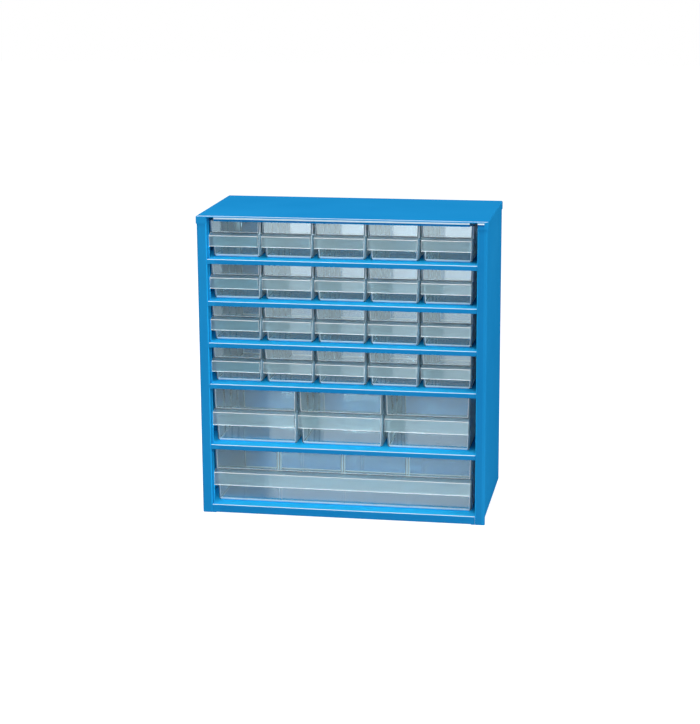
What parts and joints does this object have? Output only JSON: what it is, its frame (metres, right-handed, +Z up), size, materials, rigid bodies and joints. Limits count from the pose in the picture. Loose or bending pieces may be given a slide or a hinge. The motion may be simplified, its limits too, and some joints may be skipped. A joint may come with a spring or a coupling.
{
  "type": "parts bin cabinet",
  "caption": "Blue sheet-steel cabinet of small clear drawers in rows, with wider, taller drawers below, for a bench or a wall.",
  "frame": {"origin": "on the standing plane, at the centre of the bounding box", "axes": "+Z up, the drawers open towards -Y, +X to the right as seen from the front"},
  "size_m": [0.3076, 0.15, 0.324],
  "materials": {
    "blue_paint": "semi-gloss",
    "clear_plastic": "clear gloss"
  },
  "bodies": {
    "cabinet": {"top_cover": "blue_paint", "base_pan": "blue_paint", "left_side_panel": "blue_paint", "right_side_panel": "blue_paint", "back_panel": "blue_paint", "shelf_1": "blue_paint", "shelf_2": "blue_paint", "shelf_3": "blue_paint", "shelf_4": "blue_paint", "shelf_5": "blue_paint"},
    "drawer_r1c1": {"drawer_r1c1": "clear_plastic"},
    "drawer_r1c2": {"drawer_r1c2": "clear_plastic"},
    "drawer_r1c3": {"drawer_r1c3": "clear_plastic"},
    "drawer_r1c4": {"drawer_r1c4": "clear_plastic"},
    "drawer_r1c5": {"drawer_r1c5": "clear_plastic"},
    "drawer_r2c1": {"drawer_r2c1": "clear_plastic"},
    "drawer_r2c2": {"drawer_r2c2": "clear_plastic"},
    "drawer_r2c3": {"drawer_r2c3": "clear_plastic"},
    "drawer_r2c4": {"drawer_r2c4": "clear_plastic"},
    "drawer_r2c5": {"drawer_r2c5": "clear_plastic"},
    "drawer_r3c1": {"drawer_r3c1": "clear_plastic"},
    "drawer_r3c2": {"drawer_r3c2": "clear_plastic"},
    "drawer_r3c3": {"drawer_r3c3": "clear_plastic"},
    "drawer_r3c4": {"drawer_r3c4": "clear_plastic"},
    "drawer_r3c5": {"drawer_r3c5": "clear_plastic"},
    "drawer_r4c1": {"drawer_r4c1": "clear_plastic"},
    "drawer_r4c2": {"drawer_r4c2": "clear_plastic"},
    "drawer_r4c3": {"drawer_r4c3": "clear_plastic"},
    "drawer_r4c4": {"drawer_r4c4": "clear_plastic"},
    "drawer_r4c5": {"drawer_r4c5": "clear_plastic"},
    "drawer_r5c1": {"drawer_r5c1": "clear_plastic"},
    "drawer_r5c2": {"drawer_r5c2": "clear_plastic"},
    "drawer_r5c3": {"drawer_r5c3": "clear_plastic"},
    "drawer_r6c1": {"drawer_r6c1": "clear_plastic"}
  },
  "joints": [
    {"name": "drawer_r1c1_slide", "type": "slide", "parent": "cabinet", "child": "drawer_r1c1", "axis": [0, -1, 0], "range_m": [0, 0.119]},
    {"name": "drawer_r1c2_slide", "type": "slide", "parent": "cabinet", "child": "drawer_r1c2", "axis": [0, -1, 0], "range_m": [0, 0.119]},
    {"name": "drawer_r1c3_slide", "type": "slide", "parent": "cabinet", "child": "drawer_r1c3", "axis": [0, -1, 0], "range_m": [0, 0.119]},
    {"name": "drawer_r1c4_slide", "type": "slide", "parent": "cabinet", "child": "drawer_r1c4", "axis": [0, -1, 0], "range_m": [0, 0.119]},
    {"name": "drawer_r1c5_slide", "type": "slide", "parent": "cabinet", "child": "drawer_r1c5", "axis": [0, -1, 0], "range_m": [0, 0.119]},
    {"name": "drawer_r2c1_slide", "type": "slide", "parent": "cabinet", "child": "drawer_r2c1", "axis": [0, -1, 0], "range_m": [0, 0.119]},
    {"name": "drawer_r2c2_slide", "type": "slide", "parent": "cabinet", "child": "drawer_r2c2", "axis": [0, -1, 0], "range_m": [0, 0.119]},
    {"name": "drawer_r2c3_slide", "type": "slide", "parent": "cabinet", "child": "drawer_r2c3", "axis": [0, -1, 0], "range_m": [0, 0.119]},
    {"name": "drawer_r2c4_slide", "type": "slide", "parent": "cabinet", "child": "drawer_r2c4", "axis": [0, -1, 0], "range_m": [0, 0.119]},
    {"name": "drawer_r2c5_slide", "type": "slide", "parent": "cabinet", "child": "drawer_r2c5", "axis": [0, -1, 0], "range_m": [0, 0.119]},
    {"name": "drawer_r3c1_slide", "type": "slide", "parent": "cabinet", "child": "drawer_r3c1", "axis": [0, -1, 0], "range_m": [0, 0.119]},
    {"name": "drawer_r3c2_slide", "type": "slide", "parent": "cabinet", "child": "drawer_r3c2", "axis": [0, -1, 0], "range_m": [0, 0.119]},
    {"name": "drawer_r3c3_slide", "type": "slide", "parent": "cabinet", "child": "drawer_r3c3", "axis": [0, -1, 0], "range_m": [0, 0.119]},
    {"name": "drawer_r3c4_slide", "type": "slide", "parent": "cabinet", "child": "drawer_r3c4", "axis": [0, -1, 0], "range_m": [0, 0.119]},
    {"name": "drawer_r3c5_slide", "type": "slide", "parent": "cabinet", "child": "drawer_r3c5", "axis": [0, -1, 0], "range_m": [0, 0.119]},
    {"name": "drawer_r4c1_slide", "type": "slide", "parent": "cabinet", "child": "drawer_r4c1", "axis": [0, -1, 0], "range_m": [0, 0.119]},
    {"name": "drawer_r4c2_slide", "type": "slide", "parent": "cabinet", "child": "drawer_r4c2", "axis": [0, -1, 0], "range_m": [0, 0.119]},
    {"name": "drawer_r4c3_slide", "type": "slide", "parent": "cabinet", "child": "drawer_r4c3", "axis": [0, -1, 0], "range_m": [0, 0.119]},
    {"name": "drawer_r4c4_slide", "type": "slide", "parent": "cabinet", "child": "drawer_r4c4", "axis": [0, -1, 0], "range_m": [0, 0.119]},
    {"name": "drawer_r4c5_slide", "type": "slide", "parent": "cabinet", "child": "drawer_r4c5", "axis": [0, -1, 0], "range_m": [0, 0.119]},
    {"name": "drawer_r5c1_slide", "type": "slide", "parent": "cabinet", "child": "drawer_r5c1", "axis": [0, -1, 0], "range_m": [0, 0.119]},
    {"name": "drawer_r5c2_slide", "type": "slide", "parent": "cabinet", "child": "drawer_r5c2", "axis": [0, -1, 0], "range_m": [0, 0.119]},
    {"name": "drawer_r5c3_slide", "type": "slide", "parent": "cabinet", "child": "drawer_r5c3", "axis": [0, -1, 0], "range_m": [0, 0.119]},
    {"name": "drawer_r6c1_slide", "type": "slide", "parent": "cabinet", "child": "drawer_r6c1", "axis": [0, -1, 0], "range_m": [0, 0.119]}
  ]
}
